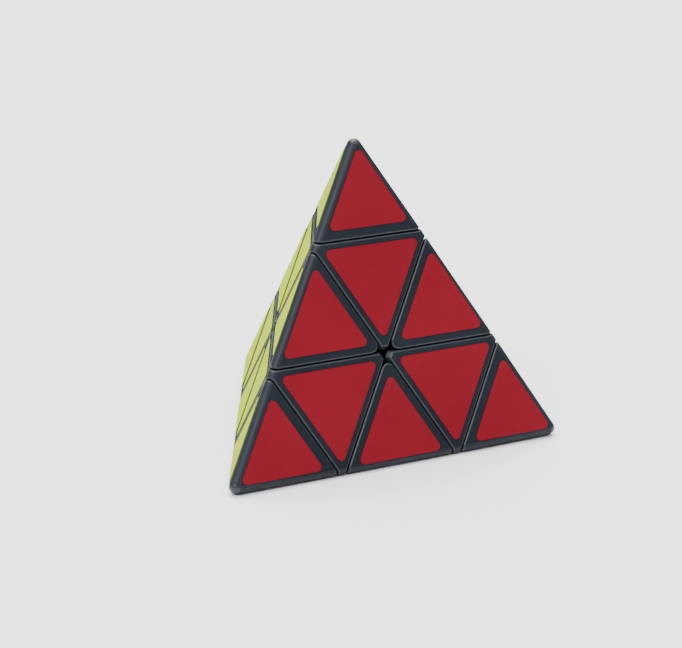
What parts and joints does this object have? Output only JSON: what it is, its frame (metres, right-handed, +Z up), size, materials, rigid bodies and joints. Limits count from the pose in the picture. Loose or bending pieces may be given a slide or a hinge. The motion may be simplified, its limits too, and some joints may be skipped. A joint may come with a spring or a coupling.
{
  "type": "pyramid twisty puzzle",
  "caption": "Twisty puzzle shaped like a triangular pyramid, each face covered in triangular stickers of one colour, with turning corner layers and turning tips around a hidden core.",
  "frame": {"origin": "centre of the core, where the four turning axes meet; it is also the centroid of the pyramid", "axes": "+Z up along the turning axis of the top point; +Y towards the back point of the base; +X along the front edge of the base, from the front left point to the front right point"},
  "size_m": [0.09, 0.0786, 0.0743],
  "materials": {
    "black_plastic": "semi-gloss moulded black",
    "inner_plastic": "plain moulded, hidden inside",
    "steel": "zinc-plated",
    "sticker_green": "satin vinyl sticker",
    "sticker_blue": "satin vinyl sticker",
    "sticker_yellow": "satin vinyl sticker",
    "sticker_red": "satin vinyl sticker"
  },
  "bodies": {
    "core": {"core": "inner_plastic", "screw_0": "steel", "screw_1": "steel", "screw_2": "steel", "screw_3": "steel", "spring_0": "steel", "spring_1": "steel", "spring_2": "steel", "spring_3": "steel"},
    "axial_0": {"axial_0": "black_plastic", "blue_axial_0": "sticker_blue", "yellow_axial_0": "sticker_yellow", "red_axial_0": "sticker_red"},
    "axial_1": {"axial_1": "black_plastic", "green_axial_1": "sticker_green", "yellow_axial_1": "sticker_yellow", "red_axial_1": "sticker_red"},
    "axial_2": {"axial_2": "black_plastic", "green_axial_2": "sticker_green", "blue_axial_2": "sticker_blue", "red_axial_2": "sticker_red"},
    "axial_3": {"axial_3": "black_plastic", "green_axial_3": "sticker_green", "blue_axial_3": "sticker_blue", "yellow_axial_3": "sticker_yellow"},
    "tip_0": {"tip_0": "black_plastic", "blue_tip_0": "sticker_blue", "yellow_tip_0": "sticker_yellow", "red_tip_0": "sticker_red"},
    "tip_1": {"tip_1": "black_plastic", "green_tip_1": "sticker_green", "yellow_tip_1": "sticker_yellow", "red_tip_1": "sticker_red"},
    "tip_2": {"tip_2": "black_plastic", "green_tip_2": "sticker_green", "blue_tip_2": "sticker_blue", "red_tip_2": "sticker_red"},
    "tip_3": {"tip_3": "black_plastic", "green_tip_3": "sticker_green", "blue_tip_3": "sticker_blue", "yellow_tip_3": "sticker_yellow"},
    "edge_01": {"edge_01": "black_plastic", "yellow_edge_01": "sticker_yellow", "red_edge_01": "sticker_red"},
    "edge_02": {"edge_02": "black_plastic", "blue_edge_02": "sticker_blue", "red_edge_02": "sticker_red"},
    "edge_03": {"edge_03": "black_plastic", "blue_edge_03": "sticker_blue", "yellow_edge_03": "sticker_yellow"},
    "edge_12": {"edge_12": "black_plastic", "green_edge_12": "sticker_green", "red_edge_12": "sticker_red"},
    "edge_23": {"edge_23": "black_plastic", "green_edge_23": "sticker_green", "blue_edge_23": "sticker_blue"},
    "edge_31": {"edge_31": "black_plastic", "green_edge_31": "sticker_green", "yellow_edge_31": "sticker_yellow"}
  },
  "joints": [
    {"name": "twist_top", "type": "hinge", "parent": "core", "child": "axial_0", "pos_m": [0, 0, 0], "axis": [0, 0, 1], "range_deg": [-240, 120]},
    {"name": "twist_front_left", "type": "hinge", "parent": "core", "child": "axial_1", "pos_m": [0, 0, 0], "axis": [-0.8165, -0.4714, -0.3333], "range_deg": [-240, 120]},
    {"name": "twist_front_right", "type": "hinge", "parent": "core", "child": "axial_2", "pos_m": [0, 0, 0], "axis": [0.8165, -0.4714, -0.3333], "range_deg": [-240, 120]},
    {"name": "twist_back", "type": "hinge", "parent": "core", "child": "axial_3", "pos_m": [0, 0, 0], "axis": [0, 0.9428, -0.3333], "range_deg": [-240, 120]},
    {"name": "tip_turn_top", "type": "hinge", "parent": "axial_0", "child": "tip_0", "pos_m": [0, 0, 0], "axis": [0, 0, 1], "continuous": true},
    {"name": "tip_turn_front_left", "type": "hinge", "parent": "axial_1", "child": "tip_1", "pos_m": [0, 0, 0], "axis": [-0.8165, -0.4714, -0.3333], "continuous": true},
    {"name": "tip_turn_front_right", "type": "hinge", "parent": "axial_2", "child": "tip_2", "pos_m": [0, 0, 0], "axis": [0.8165, -0.4714, -0.3333], "continuous": true},
    {"name": "tip_turn_back", "type": "hinge", "parent": "axial_3", "child": "tip_3", "pos_m": [0, 0, 0], "axis": [0, 0.9428, -0.3333], "continuous": true},
    {"name": "edge_01_carry", "type": "hinge", "parent": "axial_0", "child": "edge_01", "pos_m": [0, 0, 0], "axis": [-0.8165, -0.4714, -0.3333], "range_deg": [-240, 120]},
    {"name": "edge_02_carry", "type": "hinge", "parent": "axial_0", "child": "edge_02", "pos_m": [0, 0, 0], "axis": [0.8165, -0.4714, -0.3333], "range_deg": [-240, 120]},
    {"name": "edge_03_carry", "type": "hinge", "parent": "axial_0", "child": "edge_03", "pos_m": [0, 0, 0], "axis": [0, 0.9428, -0.3333], "range_deg": [-240, 120]},
    {"name": "edge_12_carry", "type": "hinge", "parent": "axial_1", "child": "edge_12", "pos_m": [0, 0, 0], "axis": [0.8165, -0.4714, -0.3333], "range_deg": [-240, 120]},
    {"name": "edge_23_carry", "type": "hinge", "parent": "axial_2", "child": "edge_23", "pos_m": [0, 0, 0], "axis": [0, 0.9428, -0.3333], "range_deg": [-240, 120]},
    {"name": "edge_31_carry", "type": "hinge", "parent": "axial_3", "child": "edge_31", "pos_m": [0, 0, 0], "axis": [-0.8165, -0.4714, -0.3333], "range_deg": [-240, 120]}
  ],
  "couplings": [
    {"joint": "edge_01_carry", "follows": "twist_front_left", "ratio": 1},
    {"joint": "edge_02_carry", "follows": "twist_front_right", "ratio": 1},
    {"joint": "edge_03_carry", "follows": "twist_back", "ratio": 1},
    {"joint": "edge_12_carry", "follows": "twist_front_right", "ratio": 1},
    {"joint": "edge_23_carry", "follows": "twist_back", "ratio": 1},
    {"joint": "edge_31_carry", "follows": "twist_front_left", "ratio": 1}
  ]
}
